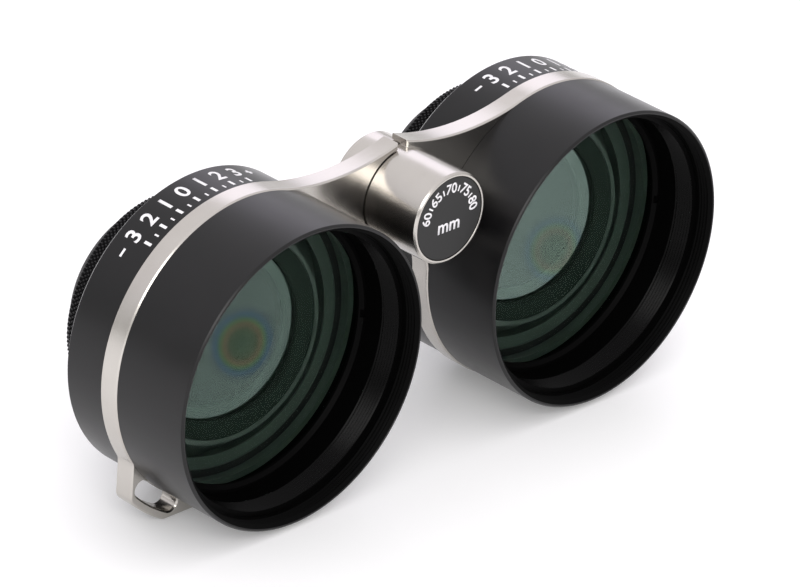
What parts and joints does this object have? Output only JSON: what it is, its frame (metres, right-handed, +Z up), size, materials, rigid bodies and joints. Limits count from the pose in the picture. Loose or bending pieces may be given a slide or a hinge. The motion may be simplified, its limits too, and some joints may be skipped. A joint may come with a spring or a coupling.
{
  "type": "astronomy binoculars",
  "caption": "Wide-field astronomy binoculars: twin short black barrels on satin metal bridge arms with a centre hinge, individual knurled focus rings and strap loops.",
  "frame": {"origin": "on the resting surface, under the middle of the bounding box: the flat feet of the strap loops touch it", "axes": "+X to the user's left, +Y along the barrels from the objectives to the eyepieces, +Z up"},
  "size_m": [0.139, 0.0452, 0.0613],
  "materials": {
    "satin_nickel": "bead blasted and satin nickel plated",
    "black_anodised": "satin black anodised",
    "knurled_black": "diamond knurled, black anodised",
    "coated_glass": "polished, green multi-layer coating",
    "optical_glass": "polished",
    "black_plastic": "flat black",
    "soft_rubber": "matte black rubber",
    "felt_seal": "greased felt",
    "bright_steel": "ground",
    "bronze": "turned",
    "white_polymer": "smooth",
    "black_enamel": "matte black enamel with a printed scale"
  },
  "bodies": {
    "left_half": {"left_bridge_arm": "satin_nickel", "left_objective_barrel": "black_anodised", "left_objective_crown_lens": "coated_glass", "left_objective_flint_lens": "optical_glass", "left_objective_retaining_ring": "black_anodised", "left_objective_spacer": "black_plastic", "left_rear_barrel": "black_anodised", "left_baffle_ring": "black_plastic", "left_focus_ring_retainer": "black_anodised", "left_grease_seal": "felt_seal", "hinge_shaft": "bright_steel", "hinge_friction_washer": "white_polymer", "hinge_spring_washer": "bright_steel", "hinge_tension_nut": "bright_steel", "hinge_scale_disc": "black_enamel"},
    "right_half": {"right_bridge_arm": "satin_nickel", "right_objective_barrel": "black_anodised", "right_objective_crown_lens": "coated_glass", "right_objective_flint_lens": "optical_glass", "right_objective_retaining_ring": "black_anodised", "right_objective_spacer": "black_plastic", "right_rear_barrel": "black_anodised", "right_baffle_ring": "black_plastic", "right_focus_ring_retainer": "black_anodised", "right_grease_seal": "felt_seal", "hinge_bush": "bronze", "hinge_rear_cap": "satin_nickel"},
    "left_focus": {"left_focus_ring": "knurled_black"},
    "right_focus": {"right_focus_ring": "knurled_black"},
    "left_eyepiece": {"left_eyepiece_cell": "black_anodised", "left_guide_pin": "bright_steel", "left_field_lens": "optical_glass", "left_field_lens_ring": "black_anodised", "left_eyepiece_spacer": "black_plastic", "left_eye_lens": "coated_glass", "left_eyepiece_retaining_ring": "black_anodised", "left_eyecup": "soft_rubber"},
    "right_eyepiece": {"right_eyepiece_cell": "black_anodised", "right_guide_pin": "bright_steel", "right_field_lens": "optical_glass", "right_field_lens_ring": "black_anodised", "right_eyepiece_spacer": "black_plastic", "right_eye_lens": "coated_glass", "right_eyepiece_retaining_ring": "black_anodised", "right_eyecup": "soft_rubber"}
  },
  "joints": [
    {"name": "ipd_hinge", "type": "hinge", "parent": "left_half", "child": "right_half", "pos_m": [0, 0, 0.0501], "axis": [0, 1, 0], "range_deg": [-38, 10]},
    {"name": "right_eyepiece_travel", "type": "slide", "parent": "right_half", "child": "right_eyepiece", "axis": [0, 1, 0], "range_m": [-0.0015, 0.00225]},
    {"name": "right_focus_turn", "type": "hinge", "parent": "right_half", "child": "right_focus", "pos_m": [-0.0393, 0, 0.0311], "axis": [0, 1, 0], "range_deg": [-60.5, 90.5]},
    {"name": "left_eyepiece_travel", "type": "slide", "parent": "left_half", "child": "left_eyepiece", "axis": [0, 1, 0], "range_m": [-0.0015, 0.00225]},
    {"name": "left_focus_turn", "type": "hinge", "parent": "left_half", "child": "left_focus", "pos_m": [0.0393, 0, 0.0311], "axis": [0, 1, 0], "range_deg": [-60.5, 90.5]}
  ],
  "couplings": [
    {"joint": "right_focus_turn", "follows": "right_eyepiece_travel", "rad_per_m": 698.13},
    {"joint": "left_focus_turn", "follows": "left_eyepiece_travel", "rad_per_m": 698.13}
  ]
}
